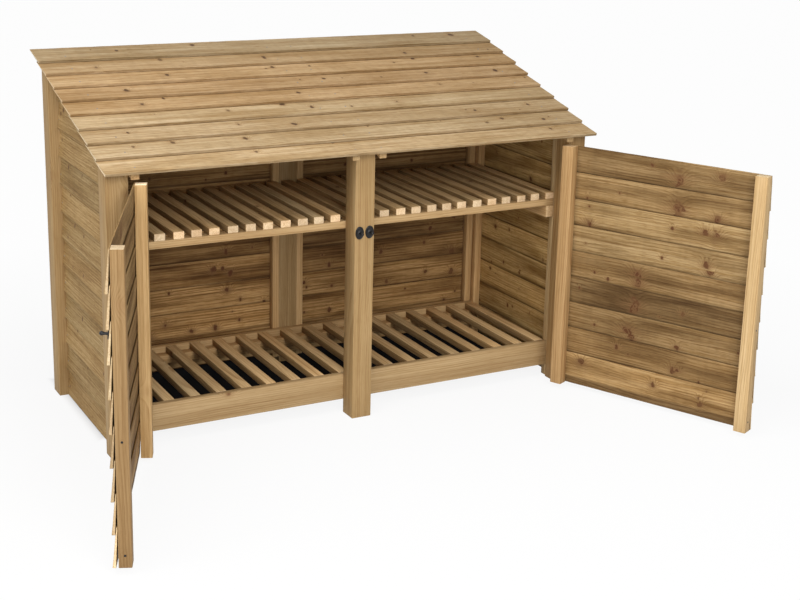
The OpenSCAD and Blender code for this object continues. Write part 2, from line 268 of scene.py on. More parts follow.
def timber(size, along, centre, seed, finish, place=Matrix(), tone=0.5, warmth=None):
    """A planed length that fills a box, its grain along one axis, with eased arrises and sawn ends."""
    turns = {
        "X": Matrix(),
        "Y": Matrix.Rotation(math.pi / 2, 4, "Z"),
        "Z": Matrix.Rotation(-math.pi / 2, 4, "Y"),
    }
    sides = {"X": size, "Y": (size[1], size[0], size[2]), "Z": (size[2], size[1], size[0])}
    length, width, depth = sides[along]
    bpy.ops.object.select_all(action="DESELECT")
    bpy.ops.mesh.primitive_cube_add(size=1)
    piece = bpy.context.object
    piece.scale = (length, width, depth)
    bpy.ops.object.transform_apply(location=False, rotation=False, scale=True)
    bpy.ops.object.mode_set(mode="EDIT")
    bpy.ops.mesh.select_all(action="SELECT")
    bpy.ops.mesh.bevel(offset=ARRIS, segments=2, affect="EDGES")
    bpy.ops.mesh.select_mode(type="EDGE")
    bpy.ops.mesh.select_all(action="DESELECT")
    bpy.ops.object.mode_set(mode="OBJECT")
    for edge in piece.data.edges:
        a, b = (piece.data.vertices[i].co for i in edge.vertices)
        edge.select = abs(a.x - b.x) > length / 2
    bpy.ops.object.mode_set(mode="EDIT")
    bpy.ops.mesh.subdivide(number_cuts=max(2, int(length / WAVE_STEP)))
    bpy.ops.mesh.select_all(action="SELECT")
    bpy.ops.transform.vertex_random(offset=PLANED_WAVE, seed=seed)
    bpy.ops.object.mode_set(mode="OBJECT")
    for material in finish:
        piece.data.materials.append(material)
    for face in piece.data.polygons:
        on_end = abs(face.normal.x) > 0.9
        # A third finish, where one is given, goes on the faces across the width; for the slats it is a darker
        # copy, painted shade on their sides
        on_side = len(finish) > 2 and abs(face.normal.y) > 0.9
        face.material_index = 1 if on_end else 2 if on_side else 0
    mark_grain(piece, seed, tone, warmth)
    piece.data.transform(place @ Matrix.Translation(centre) @ turns[along])
    return piece


def box_timber(low, high, along, seed, finish, place=Matrix(), tone=0.5, warmth=None):
    """The same, between two corners."""
    low, high = Vector(low), Vector(high)
    return timber(tuple(high - low), along, (low + high) / 2, seed, finish, place, tone, warmth)


def saw_off(piece, point, outward):
    """A straight saw cut: what lies beyond the plane goes."""
    bpy.ops.object.select_all(action="DESELECT")
    bpy.context.view_layer.objects.active = piece
    piece.select_set(True)
    bpy.ops.object.mode_set(mode="EDIT")
    bpy.ops.mesh.select_all(action="SELECT")
    bpy.ops.mesh.bisect(plane_co=point, plane_no=outward, use_fill=True, clear_outer=True)
    bpy.ops.object.mode_set(mode="OBJECT")


def fixed_together(node, pieces, body, in_cad=True):
    """Like pieces that are nailed up as one: joined, named, smoothed and set in the frame.

    They replace the node of the same name, except screws, which have no node.
    """
    bpy.ops.object.select_all(action="DESELECT")
    for piece in pieces:
        piece.select_set(True)
    bpy.context.view_layer.objects.active = pieces[0]
    if len(pieces) > 1:
        bpy.ops.object.join()
    joined = bpy.context.object
    joined.name = "visual_" + node
    joined.data.name = "visual_" + node
    bpy.ops.object.shade_smooth_by_angle(angle=math.radians(30))
    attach(joined, body)
    if in_cad:
        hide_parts(node)
    return joined


post_finish = (
    softwood(
        "planed post", pale=(0.48, 0.327, 0.172), honey=(0.40, 0.258, 0.124), late=(0.30, 0.172, 0.07),
        knot=(0.13, 0.055, 0.02), ring_gap=0.0085, knot_reach=0.011, bump=0.2, rough=0.56,
    ),
    softwood(
        "post end grain", pale=(0.64, 0.47, 0.29), honey=(0.54, 0.37, 0.21), late=(0.40, 0.25, 0.13),
        knot=(0.2, 0.1, 0.05), ring_gap=0.0036, bump=0.3, rough=0.7,
    ),
)
POST_LOOKS = {
    "left_front_post": (0.5, 0.3),
    "centre_front_post": (0.48, 0.3),
    "right_front_post": (0.3, 0.8),
    "left_back_post": (0.45, 0.3),
    # The centre back post is set darker than the others: painted shade, as it stands in shadow deep in the
    # store
    "centre_back_post": (0.2, 0.3),
    "right_back_post": (0.4, 0.3),
}
for number, (node, (tone, warmth)) in enumerate(POST_LOOKS.items()):
    low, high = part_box(node)
    high = Vector(high) + Vector((0, 0, POST_SPARE))
    post = box_timber(low, high, "Z", POST_SEED + number, post_finish, tone=tone, warmth=warmth)
    saw_off(post, slope_point, slope_up)
    fixed_together(node, [post], "store")


# The floor stands on a deep rail behind the front posts and another at the back. A ledger is nailed
# inside each rail, and slats lie on the ledgers from front to back, with gaps that let the air through.
FLOOR_RAIL_SEED, FLOOR_SLAT_SEED, ROW_STEP = 31, 50, 20
FLOOR_RAIL_TONE = 0.32
FLOOR_SLATS = 9
SLAT_W = 0.038
SLAT_STRAY, SLAT_SHORT = 0.002, 0.0025
rail_finish = (
    softwood(
        "planed rail", pale=(0.53, 0.36, 0.195), honey=(0.455, 0.296, 0.152), late=(0.335, 0.196, 0.087),
        knot=(0.14, 0.06, 0.022), ring_gap=0.0075, knot_reach=0.009, bump=0.18, rough=0.56,
    ),
    softwood(
        "rail end grain", pale=(0.74, 0.57, 0.38), honey=(0.64, 0.46, 0.28), late=(0.48, 0.31, 0.17),
        knot=(0.2, 0.1, 0.05), ring_gap=0.0032, bump=0.3, rough=0.7,
    ),
)
floor_rails = ("floor_front_rail", "floor_back_rail", "floor_front_ledger", "floor_back_ledger")
for number, node in enumerate(floor_rails):
    low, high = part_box(node)
    rail = box_timber(low, high, "X", FLOOR_RAIL_SEED + number, rail_finish, tone=FLOOR_RAIL_TONE)
    fixed_together(node, [rail], "store")

slat_finish = (
    softwood(
        "planed slat", pale=(0.65, 0.47, 0.275), honey=(0.55, 0.37, 0.195), late=(0.39, 0.225, 0.10),
        knot=(0.13, 0.055, 0.02), ring_gap=0.0075, knot_reach=0.008, bump=0.18, rough=0.58,
    ),
    softwood(
        "slat end grain", pale=(0.80, 0.62, 0.44), honey=(0.70, 0.51, 0.34), late=(0.55, 0.37, 0.23),
        knot=(0.3, 0.16, 0.08), ring_gap=0.0030, bump=0.35, rough=0.75,
    ),
    # The slats' sides take a darker copy of the slat finish: painted shade for the shade between the slats
    softwood(
        "slat side with painted shade", pale=(0.38, 0.25, 0.125), honey=(0.30, 0.188, 0.088), late=(0.19, 0.105, 0.045),
        knot=(0.1, 0.042, 0.015), ring_gap=0.0075, knot_reach=0.008, bump=0.26, rough=0.66,
    ),
)


def slat_row(node, count, seed):
    """Slats from front to back, spaced by eye, so that none is quite in line with the next."""
    low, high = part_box(node)
    pitch = (high[0] - low[0] - SLAT_W) / (count - 1)
    chance = random.Random(seed)
    slats = []
    for i in range(count):
        x = low[0] + i * pitch + (chance.uniform(-SLAT_STRAY, SLAT_STRAY) if 0 < i < count - 1 else 0)
        front = low[1] + chance.uniform(0, SLAT_SHORT)
        tone = chance.uniform(0.3, 0.75)
        warmth = chance.uniform(0.2, 0.7)
        slats.append(box_timber((x, front, low[2]), (x + SLAT_W, high[1], high[2]), "Y", seed + i,
                                slat_finish, tone=tone, warmth=warmth))
    fixed_together(node, slats, "store")


for number, hand in enumerate(("left", "right")):
    slat_row(hand + "_floor_slats", FLOOR_SLATS, FLOOR_SLAT_SEED + ROW_STEP * number)


# Each side is a panel between two posts: an upright beside each post, and feather-edge boards nailed
# across the uprights from the bottom up, each board lapping over the one below it.
BOARD_W, BOARD_THICK, BOARD_THIN = 0.125, 0.010, 0.0035
BOARD_ARRIS, SAWN_WAVE = 0.0009, 0.0004
STEP_ACROSS, STEP_ALONG = 0.025, 0.022
WALL_GAUGE = 0.100
WALL_STILE_W = 0.027
LAP_AIR = 0.0003
HEAD_T, HEAD_EASE = 0.0012, 0.0004
NAIL_R, NAIL_RISE = 0.0028, 0.034
NAIL_STRAY_ALONG, NAIL_STRAY_UP = 0.004, 0.003
SMALL_KNOTS = 3
TOP_BOARD_SHOWN = 0.75
SIDE_STILE_SEED, SIDE_BOARD_SEED, PAIR_STEP, PANEL_STEP = 90, 200, 4, 100


def lap_lift(gauge):
    """How far a board's lower edge is held off by the board below it."""
    cover = gauge / BOARD_W
    return (BOARD_THICK * (1 - cover) + BOARD_THIN * cover + LAP_AIR) / cover


wall_finish = (
    softwood(
        "sawn board, outside", pale=(0.54, 0.37, 0.185), honey=(0.46, 0.305, 0.142), late=(0.33, 0.195, 0.08),
        knot=(0.10, 0.045, 0.018), ring_gap=0.0095, bump=0.34, rough=0.64, sawn=True,
    ),
    softwood(
        "board end grain", pale=(0.70, 0.54, 0.36), honey=(0.60, 0.44, 0.28), late=(0.45, 0.30, 0.17),
        knot=(0.2, 0.1, 0.05), ring_gap=0.0030, bump=0.4, rough=0.78,
    ),
    softwood(
        "sawn board, inside", pale=(0.45, 0.30, 0.150), honey=(0.355, 0.225, 0.102),
        late=(0.20, 0.108, 0.042), knot=(0.085, 0.028, 0.009), ring_gap=0.0105, bump=0.38, rough=0.66,
        sawn=True, lap_shade=0.9,
    ),
)


def feather_board(length, gauge, seed, finish):
    """One board along X, its lower edge on Z 0, sawn thin upwards and leaning on the board below."""
    lift = lap_lift(gauge)
    bpy.ops.object.select_all(action="DESELECT")
    bpy.ops.mesh.primitive_cube_add(size=1, location=(length / 2, -BOARD_THICK / 2, BOARD_W / 2))
    board = bpy.context.object
    board.scale = (length, BOARD_THICK, BOARD_W)
    bpy.ops.object.transform_apply(location=True, rotation=False, scale=True)

    def pick(test):
        for part in (board.data.polygons, board.data.edges):
            for item in part:
                item.select = False
        for vertex in board.data.vertices:
            vertex.select = test(vertex.co)

    bpy.ops.object.mode_set(mode="EDIT")
    bpy.ops.mesh.select_mode(type="VERT")
    bpy.ops.object.mode_set(mode="OBJECT")
    pick(lambda co: co.z < BOARD_W / 2)
    bpy.ops.object.mode_set(mode="EDIT")
    bpy.ops.transform.translate(value=(0, -lift, 0))
    bpy.ops.object.mode_set(mode="OBJECT")
    pick(lambda co: co.z > BOARD_W / 2 and co.y < -BOARD_THICK / 2)
    bpy.ops.object.mode_set(mode="EDIT")
    bpy.ops.transform.translate(value=(0, BOARD_THICK - BOARD_THIN, 0))
    bpy.ops.mesh.select_all(action="SELECT")
    bpy.ops.mesh.bevel(offset=BOARD_ARRIS, segments=1, affect="EDGES")
    bpy.ops.mesh.select_mode(type="EDGE")
    bpy.ops.mesh.select_all(action="DESELECT")
    bpy.ops.object.mode_set(mode="OBJECT")
    for axis, reach, step in ((2, BOARD_W, STEP_ACROSS), (0, length, STEP_ALONG)):
        bpy.ops.object.mode_set(mode="EDIT")
        bpy.ops.mesh.select_all(action="DESELECT")
        bpy.ops.object.mode_set(mode="OBJECT")
        for edge in board.data.edges:
            a, b = (board.data.vertices[i].co for i in edge.vertices)
            edge.select = abs(a[axis] - b[axis]) > reach / 2
        bpy.ops.object.mode_set(mode="EDIT")
        bpy.ops.mesh.subdivide(number_cuts=int(reach / step) - 1)
    bpy.ops.mesh.select_all(action="SELECT")
    bpy.ops.transform.vertex_random(offset=SAWN_WAVE, seed=seed)
    bpy.ops.object.mode_set(mode="OBJECT")
    for material in finish:
        board.data.materials.append(material)
    for face in board.data.polygons:
        face.material_index = 1 if abs(face.normal.x) > 0.9 else 2 if face.normal.y > 0.5 else 0
    return board


def nail_heads(places, radius, metal):
    """Round heads driven just home; one is made and the others are copies of it."""
    bpy.ops.object.select_all(action="DESELECT")
    bpy.ops.mesh.primitive_cylinder_add(vertices=12, radius=radius, depth=HEAD_T)
    nail = bpy.context.object
    bpy.ops.object.mode_set(mode="EDIT")
    bpy.ops.mesh.select_all(action="SELECT")
    bpy.ops.mesh.bevel(offset=HEAD_EASE, segments=2, affect="EDGES")
    bpy.ops.object.mode_set(mode="OBJECT")
    nail.data.materials.append(metal)
    heads = []
    for i, place in enumerate(places):
        head = nail
        if i < len(places) - 1:
            head = nail.copy()
            head.data = nail.data.copy()
            bpy.context.collection.objects.link(head)
        head.data.transform(place)
        heads.append(head)
    return heads


zinc = bpy.data.materials.new("dull zinc")
zinc.use_nodes = True
nodes, links = zinc.node_tree.nodes, zinc.node_tree.links
shader = nodes["Principled BSDF"]
where = nodes.new("ShaderNodeTexCoord")
spangle = nodes.new("ShaderNodeTexNoise")
spangle.inputs["Scale"].default_value = 900
grey = nodes.new("ShaderNodeValToRGB")
grey.color_ramp.elements[0].color = (0.16, 0.15, 0.14, 1)
grey.color_ramp.elements[1].color = (0.34, 0.33, 0.32, 1)
links.new(where.outputs["Object"], spangle.inputs["Vector"])
links.new(spangle.outputs["Fac"], grey.inputs["Fac"])
links.new(grey.outputs["Color"], shader.inputs["Base Color"])
shader.inputs["Metallic"].default_value = 0.7
shader.inputs["Roughness"].default_value = 0.55


def lapped_boards(count, gauge, length, place, seed, finish, looks, whorls, nail_lines, ragged=0.0):
    """Boards from the bottom up; each is cut to length by hand, so their ends are not quite in line.

    A whorl of branches leaves knots at one place along boards sawn side by side: it has a place, a first
    and a last board, and a radius.
    """
    chance = random.Random(seed)
    branch = random.Random(seed + 1)
    pattern = feather_board(length, gauge, seed, finish)
    fall = lap_lift(gauge) + BOARD_THICK - BOARD_THIN
    lean = Matrix.Rotation(math.atan2(fall, BOARD_W) + math.pi / 2, 4, "X")
    proud = lap_lift(gauge) + BOARD_THICK - fall * NAIL_RISE / BOARD_W
    boards, nails = [], []
    for i in range(count):
        board = pattern
        if i < count - 1:
            board = pattern.copy()
            board.data = pattern.data.copy()
            bpy.context.collection.objects.link(board)
        knots = [
            (chance.uniform(0, length), chance.uniform(0.02, 0.11), chance.uniform(0.002, 0.005))
            for _ in range(SMALL_KNOTS)
        ]
        for x, first, last, radius in whorls:
            if first <= i <= last:
                knots.append((x + branch.uniform(-0.015, 0.015), branch.uniform(0.035, 0.095),
                              radius * branch.uniform(0.85, 1.05)))
        tone, warmth = looks[i % len(looks)]
        covered = 1.0 if i < count - 1 else TOP_BOARD_SHOWN
        mark_grain(board, seed + 7 * i, tone, warmth, knots, BOARD_W, covered)
        trim = Matrix.Diagonal((1 + chance.uniform(-ragged, 0) / length, 1, 1, 1))
        shift = Matrix.Translation((chance.uniform(0, ragged / 2), 0, i * gauge))
        board.data.transform(place @ shift @ trim)
        boards.append(board)
        for x in nail_lines:
            nail_x = x + chance.uniform(-NAIL_STRAY_ALONG, NAIL_STRAY_ALONG)
            nail_z = i * gauge + NAIL_RISE + chance.uniform(-NAIL_STRAY_UP, NAIL_STRAY_UP)
            nails.append(place @ Matrix.Translation((nail_x, -proud, nail_z)) @ lean)
    return boards + nail_heads(nails, NAIL_R, zinc)


SIDE_LOOKS = {
    "left": ((0.42, 0.4), (0.34, 0.2), (0.47, 0.35), (0.32, 0.1), (0.42, 0.3)),
    # The right wall's boards are set lighter than the left's: painted light for the inside of the right wall
    "right": ((0.6, 0.3), (0.5, 0.2), (0.65, 0.4), (0.52, 0.3), (0.6, 0.4)),
}
SIDE_WHORLS = {
    "left": ((0.23, 3, 3, 0.005), (0.16, 6, 6, 0.005), (0.10, 8, 8, 0.006), (0.05, 10, 10, 0.008)),
    "right": ((0.34, 1, 1, 0.005), (0.26, 3, 3, 0.005), (0.46, 4, 4, 0.008), (0.20, 7, 7, 0.008)),
}
# The right wall's inside takes a paler copy of the inside finish: painted light
painted_light_inside = softwood(
    "sawn board, inside with painted light", pale=(0.66, 0.455, 0.21), honey=(0.54, 0.35, 0.15), late=(0.34, 0.195, 0.075),
    knot=(0.12, 0.045, 0.014), ring_gap=0.0105, bump=0.38, rough=0.66, sawn=True, lap_shade=0.9,
)
side_finish = {"left": wall_finish, "right": (*wall_finish[:2], painted_light_inside)}
side_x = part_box("right_side_boards")[0][0]
HANDS = (("left", -1), ("right", 1))
for number, (hand, sign) in enumerate(HANDS):
    low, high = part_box(hand + "_side_stiles")
    stiles = []
    for k, y in enumerate((low[1], high[1] - WALL_STILE_W)):
        stiles.append(box_timber((low[0], y, low[2]), (high[0], y + WALL_STILE_W, high[2]), "Z",
                                 SIDE_STILE_SEED + PAIR_STEP * number + k, rail_finish))
    uprights = fixed_together(hand + "_side_stiles", stiles, "store")
    saw_off(uprights, slope_point, slope_up)

    low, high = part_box(hand + "_side_boards")
    length = high[1] - low[1]
    count = math.ceil((high[2] - low[2]) / WALL_GAUGE)
    corner = Vector((sign * side_x, high[1] if sign < 0 else low[1], low[2]))
    place = Matrix.Translation(corner) @ Matrix.Rotation(sign * math.pi / 2, 4, "Z")
    boards = lapped_boards(
        count, WALL_GAUGE, length, place, SIDE_BOARD_SEED + PANEL_STEP * number, side_finish[hand],
        SIDE_LOOKS[hand], SIDE_WHORLS[hand], (WALL_STILE_W / 2, length - WALL_STILE_W / 2),
    )
    cladding = fixed_together(hand + "_side_boards", boards, "store")
    saw_off(cladding, slope_point, slope_up)


# The back is closed by two more panels of the same boards, one behind each bay. Their uprights and
# their top boards stop under the rafters.
BACK_STILE_SEED, BACK_BOARD_SEED = 120, 400
RAFTER_T = 0.020
BACK_LOOKS = {
    "left": ((0.5, 1.0), (0.85, 0.8), (0.75, 0.8), (0.4, 1.0),
             (0.25, 0.9), (0.4, 0.9), (0.45, 1.0), (0.4, 0.9)),
    # The right panel's boards are set darker than the left's: painted shade for light that falls from the
    # left
    "right": ((0.3, 1.0), (0.6, 0.8), (0.5, 0.8), (0.1, 1.0),
              (0.0, 0.9), (0.15, 0.9), (0.2, 1.0), (0.2, 0.9)),
}
BACK_WHORLS = {
    "left": (
        (0.20, 2, 5, 0.008), (0.62, 1, 5, 0.008), (0.26, 3, 3, 0.009), (0.45, 1, 1, 0.007),
        (0.34, 1, 1, 0.007), (0.25, 1, 1, 0.007), (0.52, 1, 1, 0.008), (0.15, 1, 2, 0.005),
        (0.22, 7, 7, 0.005), (0.46, 7, 7, 0.005),
    ),
    "right": (
        (0.07, 2, 4, 0.009), (0.20, 2, 4, 0.006), (0.64, 1, 3, 0.006), (0.40, 2, 3, 0.006),
        (0.76, 1, 2, 0.005), (0.37, 0, 0, 0.006), (0.60, 0, 0, 0.005), (0.30, 6, 6, 0.006),
        (0.66, 6, 6, 0.007),
    ),
}
streaked_inside = softwood(
    "sawn board, streaked inside", pale=(0.45, 0.30, 0.150), honey=(0.355, 0.225, 0.102),
    late=(0.20, 0.108, 0.042), knot=(0.075, 0.024, 0.008), ring_gap=0.0105, bump=0.38, rough=0.66,
    sawn=True, lap_shade=0.9, streaks=0.85,
)
back_finish = (*wall_finish[:2], streaked_inside)
rafter_under = slope_point - slope_up * RAFTER_T
for number, hand in enumerate(("left", "right")):
    low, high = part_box(hand + "_back_stiles")
    stiles = []
    for k, x in enumerate((low[0], high[0] - WALL_STILE_W)):
        stiles.append(box_timber((x, low[1], low[2]), (x + WALL_STILE_W, high[1], high[2]), "Z",
                                 BACK_STILE_SEED + PAIR_STEP * number + k, rail_finish))
    uprights = fixed_together(hand + "_back_stiles", stiles, "store")
    saw_off(uprights, rafter_under, slope_up)

    low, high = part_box(hand + "_back_boards")
    length = high[0] - low[0]
    count = math.ceil((high[2] - low[2]) / WALL_GAUGE)
    place = Matrix.Translation((high[0], low[1], low[2])) @ Matrix.Rotation(math.pi, 4, "Z")
    boards = lapped_boards(
        count, WALL_GAUGE, length, place, BACK_BOARD_SEED + PANEL_STEP * number, back_finish,
        BACK_LOOKS[hand], BACK_WHORLS[hand], (WALL_STILE_W / 2, length - WALL_STILE_W / 2),
    )
    cladding = fixed_together(hand + "_back_boards", boards, "store")
    saw_off(cladding, rafter_under, slope_up)


# The shelf for kindling hangs between the sides: a bearer on each side wall, a rail along the front and
# one along the back, and slats closer together than in the floor, their sawn ends flush with the rail.
SHELF_RAIL_SEED, SHELF_SLAT_SEED = 140, 150
SHELF_SLATS = 13
shelf_rails = {
    "left_shelf_bearer": "Y", "right_shelf_bearer": "Y",
    "shelf_front_rail": "X", "shelf_back_rail": "X",
}
for number, (node, along) in enumerate(shelf_rails.items()):
    low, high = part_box(node)
    rail = box_timber(low, high, along, SHELF_RAIL_SEED + number, rail_finish)
    fixed_together(node, [rail], "store")
for number, hand in enumerate(("left", "right")):
    slat_row(hand + "_shelf_slats", SHELF_SLATS, SHELF_SLAT_SEED + ROW_STEP * number)


# Four rafters lie against the inner faces of the posts, and long feather-edge boards are nailed across
# them from the eaves up, each lapping over the one below it to throw the rain off the front.
RAFTER_SPARE = 0.03
RAFTER_SEED, ROOF_BOARD_SEED = 180, 600
ROOF_BOARDS = 9
ROOF_GAUGE = 0.1005
ROOF_RAGGED = 0.006


def on_slope(y):
    """The point above a place in the depth of the store where the rafters' upper side lies."""
    return slope_point + (y - INNER_Y) * Vector((0, 1, math.tan(ROOF_PITCH)))


rafters = ("left_rafter", "centre_left_rafter", "centre_right_rafter", "right_rafter")
for number, node in enumerate(rafters):
    low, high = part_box(node)
    half = (high[1] - low[1]) / math.cos(ROOF_PITCH) / 2 + RAFTER_SPARE
    top = on_slope((low[1] + high[1]) / 2)
    place = Matrix.Translation((0, top.y, top.z)) @ Matrix.Rotation(ROOF_PITCH, 4, "X")
    rafter = box_timber((low[0], -half, -RAFTER_T), (high[0], half, 0), "Y",
                        RAFTER_SEED + number, rail_finish, place)
    saw_off(rafter, (0, low[1], 0), (0, -1, 0))
    saw_off(rafter, (0, high[1], 0), (0, 1, 0))
    fixed_together(node, [rafter], "store")

roof_finish = (
    softwood(
        "roof board, outside", pale=(0.59, 0.44, 0.29), honey=(0.495, 0.358, 0.217), late=(0.36, 0.22, 0.098),
        knot=(0.05, 0.019, 0.007), ring_gap=0.0095, bump=0.32, rough=0.62, sawn=True,
    ),
    softwood(
        "roof end grain", pale=(0.86, 0.71, 0.53), honey=(0.78, 0.62, 0.44), late=(0.62, 0.46, 0.30),
        knot=(0.3, 0.18, 0.1), ring_gap=0.0030, bump=0.4, rough=0.78,
    ),
    wall_finish[2],
)
ROOF_LOOKS = (
    (0.66, 0.25), (0.62, 0.15), (0.5, 0.3), (0.6, 0.2), (0.55, 0.85),
    (0.4, 0.95), (0.5, 0.8), (0.45, 0.6), (0.48, 0.1),
)
ROOF_WHORLS = (
    (0.25, 4, 5, 0.008), (0.27, 1, 1, 0.008), (0.53, 1, 1, 0.008), (1.55, 1, 1, 0.008), (0.75, 2, 3, 0.008),
    (0.85, 3, 4, 0.006), (1.44, 4, 7, 0.007), (1.74, 5, 6, 0.008), (0.43, 6, 7, 0.008), (0.20, 7, 7, 0.008),
    (0.83, 6, 7, 0.007), (0.60, 8, 8, 0.006), (1.72, 8, 8, 0.008), (0.55, 2, 3, 0.006), (0.15, 1, 2, 0.006),
    (1.00, 5, 6, 0.005), (1.47, 1, 2, 0.006), (1.72, 0, 2, 0.006), (1.20, 3, 3, 0.005), (0.55, 0, 0, 0.005),
)
low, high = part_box("roof_boards")
stack = lap_lift(ROOF_GAUGE) + BOARD_THICK
eaves = on_slope(low[1] + stack * math.sin(ROOF_PITCH))
place = Matrix.Translation((low[0], eaves.y, eaves.z)) @ Matrix.Rotation(ROOF_PITCH - math.pi / 2, 4, "X")
rafter_lines = [(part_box(node)[0][0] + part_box(node)[1][0]) / 2 - low[0] for node in rafters]
roof = lapped_boards(
    ROOF_BOARDS, ROOF_GAUGE, high[0] - low[0], place, ROOF_BOARD_SEED, roof_finish,
    ROOF_LOOKS, ROOF_WHORLS, rafter_lines, ragged=ROOF_RAGGED,
)
fixed_together("roof_boards", roof, "store")


# Two doors close the bays. Each is two planed uprights with nine feather-edge boards nailed across
# their outer side. They hang on the corner posts and stand open.
DOOR_STILE_W, DOOR_STILE_T = 0.045, 0.038
DOOR_CLEARANCE = 0.006
DOOR_BOARDS = 9
DOOR_RAGGED = 0.005
DOOR_STILE_SEED, DOOR_BOARD_SEED = 700, 720
DOOR_LOOKS = (
    (0.85, 0.4), (0.3, 0.55), (0.05, 0.5), (-0.15, 0.6), (0.12, 0.5),
    (0.45, 0.1), (0.56, 0.1), (0.32, 0.4), (0.25, 0.4),
)
DOOR_WHORLS = (
    (0.49, 2, 4, 0.015), (0.47, 2, 4, 0.011), (0.31, 1, 1, 0.010), (0.30, 1, 3, 0.007),
    (0.33, 7, 8, 0.016), (0.19, 5, 8, 0.011), (0.22, 5, 6, 0.009), (0.69, 0, 0, 0.011),
    (0.69, 6, 6, 0.010), (0.20, 0, 0, 0.007), (0.39, 0, 0, 0.007), (0.55, 1, 1, 0.006),
)
stile_finish = (
    post_finish[0],
    softwood(
        "stile end grain", pale=(0.98, 0.84, 0.66), honey=(0.90, 0.74, 0.55), late=(0.70, 0.52, 0.35),
        knot=(0.3, 0.18, 0.1), ring_gap=0.0036, bump=0.3, rough=0.7,
    ),
)
stile_looks = {
    "left": ((stile_finish, 0.8, 0.5), (stile_finish, -0.15, 0.9)),
    "right": ((rail_finish, 1.0, 0.0), (rail_finish, 0.3, 0.9)),
}
hinges = {joint["child"]: joint for joint in frame["joints"]}
hung = {}
bay_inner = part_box("right_front_post")[0][0]
door_w = bay_inner - POST / 2 - 2 * DOOR_CLEARANCE
for number, (hand, sign) in enumerate(HANDS):
    hinge = hinges[hand + "_door"]
    pin = Vector(hinge["pos_m"])
    opened = sign * math.radians(-hinge["range_deg"][0])
    swing = Matrix.Translation(pin) @ Matrix.Rotation(opened, 4, "Z") @ Matrix.Translation(-pin)
    bottom, top = (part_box(hand + "_door_stiles")[i][2] for i in (0, 1))
    gauge = (top - bottom - BOARD_W) / (DOOR_BOARDS - 1)
    stack = lap_lift(gauge) + BOARD_THICK
    stile_y = FRONT_Y + stack
    left_x = POST / 2 + DOOR_CLEARANCE if sign > 0 else -bay_inner + DOOR_CLEARANCE
    hung[hand] = (swing, left_x, bottom, gauge, stack)
    stiles = []
    for k, x in enumerate((left_x, left_x + door_w - DOOR_STILE_W)):
        finish, tone, warmth = stile_looks[hand][k]
        far_corner = (x + DOOR_STILE_W, stile_y + DOOR_STILE_T, top)
        stiles.append(box_timber((x, stile_y, bottom), far_corner, "Z",
                                 DOOR_STILE_SEED + PAIR_STEP * number + k, finish, swing, tone, warmth))
    fixed_together(hand + "_door_stiles", stiles, hand + "_door")

    place = swing @ Matrix.Translation((left_x, stile_y, bottom))
    whorls = DOOR_WHORLS if sign > 0 else [(door_w - x, *rest) for x, *rest in DOOR_WHORLS]
    boards = lapped_boards(
        DOOR_BOARDS, gauge, door_w, place, DOOR_BOARD_SEED + PANEL_STEP * number, wall_finish,
        DOOR_LOOKS, whorls, (DOOR_STILE_W / 2, door_w - DOOR_STILE_W / 2), ragged=DOOR_RAGGED,
    )
    fixed_together(hand + "_door_boards", boards, hand + "_door")


# The ironwork is black: strap hinges on the doors, their plates on the corner posts, two catches on
# the centre post and a knob on each door. It is pressed or cast, then painted, with a slight sheen.
ROSE_T, ROSE_W = 0.002, 0.032
KNOB_BOARD, KNOB_RISE = 6, 0.084
SCREW_R, SCREW_STAND = 0.0036, 0.0028
STRAP_HALF = 0.015
STRAP_SCREWS = (0.04, 0.12, 0.2, 0.25)
PLATE_SCREWS = ((0.014, 0.036), (0.026, 0), (0.014, -0.036))
STILE_SCREWS = (0.06, 0.4)

iron = bpy.data.materials.new("black paint on iron")
iron.use_nodes = True
nodes, links = iron.node_tree.nodes, iron.node_tree.links
shader = nodes["Principled BSDF"]
where = nodes.new("ShaderNodeTexCoord")
speckle = nodes.new("ShaderNodeTexNoise")
speckle.inputs["Scale"].default_value = 260
sheen = nodes.new("ShaderNodeMapRange")
sheen.inputs["To Min"].default_value = 0.3
sheen.inputs["To Max"].default_value = 0.5
paint = nodes.new("ShaderNodeValToRGB")
paint.color_ramp.elements[0].color = (0.004, 0.004, 0.0045, 1)
paint.color_ramp.elements[1].color = (0.012, 0.012, 0.013, 1)
links.new(where.outputs["Object"], speckle.inputs["Vector"])
links.new(speckle.outputs["Fac"], sheen.inputs["Value"])
links.new(speckle.outputs["Fac"], paint.inputs["Fac"])
links.new(sheen.outputs["Result"], shader.inputs["Roughness"])
links.new(paint.outputs["Color"], shader.inputs["Base Color"])
shader.inputs["Specular IOR Level"].default_value = 0.3
for node in ("left_hinge_flaps", "right_hinge_flaps", "left_door_straps", "right_door_straps"):
    part = frame["nodes"][node]
    part.data.materials.clear()
    part.data.materials.append(iron)


